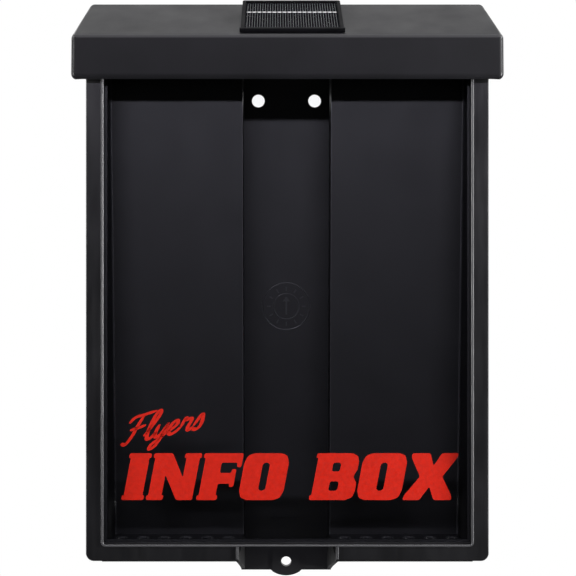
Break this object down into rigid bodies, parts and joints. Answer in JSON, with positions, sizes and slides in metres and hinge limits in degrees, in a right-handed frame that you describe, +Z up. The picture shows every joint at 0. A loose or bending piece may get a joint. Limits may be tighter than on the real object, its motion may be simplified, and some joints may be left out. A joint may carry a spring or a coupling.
{
  "type": "outdoor brochure box",
  "caption": "Post-mounted outdoor flyer box: a moulded tray with a clear slide-in front, a lid hinged at its rear, and a solar light under the roof.",
  "frame": {"origin": "on the rear mounting face, on the centre line, midway between the two upper screw holes", "axes": "+Y out of the rear face into the post, +Z up, the window faces -Y"},
  "size_m": [0.2652, 0.0846, 0.3884],
  "materials": {
    "shell": "glossy black moulded plastic",
    "lid": "black moulded plastic, fine satin grain",
    "clear_sheet": "clear polished plastic sheet",
    "steel": "zinc plated",
    "solar_black": "black moulded frame",
    "silicon": "near-black silicon cell",
    "silver": "printed silver",
    "resin": "clear resin",
    "rubber": "soft black rubber",
    "lead_red": "insulation",
    "lead_black": "insulation",
    "board": "green solder mask",
    "chip": "moulded epoxy",
    "lamp": "clear epoxy",
    "battery": "printed sleeve",
    "slider": "pale grey plastic",
    "print_red": "red vinyl print on the window"
  },
  "bodies": {
    "box": {"body_shell": "shell", "front_window": "clear_sheet", "hinge_pin_right": "steel", "hinge_pin_left": "steel"},
    "lid": {"lid_shell": "lid", "solar_tray": "solar_black", "solar_cell": "silicon", "solar_busbar": "silver", "solar_cover": "resin", "lead_grommet": "rubber", "wire_red": "lead_red", "wire_black": "lead_black", "light_housing": "lid", "battery_cover": "lid", "led_lens": "clear_sheet", "circuit_board": "board", "control_chip": "chip", "led_1": "lamp", "led_2": "lamp", "led_3": "lamp", "battery_cell": "battery", "battery_contact": "steel", "battery_spring": "steel", "switch_body": "chip", "housing_screw_1": "steel", "housing_screw_2": "steel", "housing_screw_3": "steel", "housing_screw_4": "steel", "cover_screw_1": "steel", "cover_screw_2": "steel"},
    "switch": {"switch_slider": "slider"}
  },
  "joints": [
    {"name": "lid_hinge", "type": "hinge", "parent": "box", "child": "lid", "pos_m": [0, -0.01381, 0.05245], "axis": [-1, 0, 0], "range_deg": [0, 110]},
    {"name": "switch_slide", "type": "slide", "parent": "lid", "child": "switch", "axis": [1, 0, 0], "range_m": [0, 0.0028]}
  ]
}
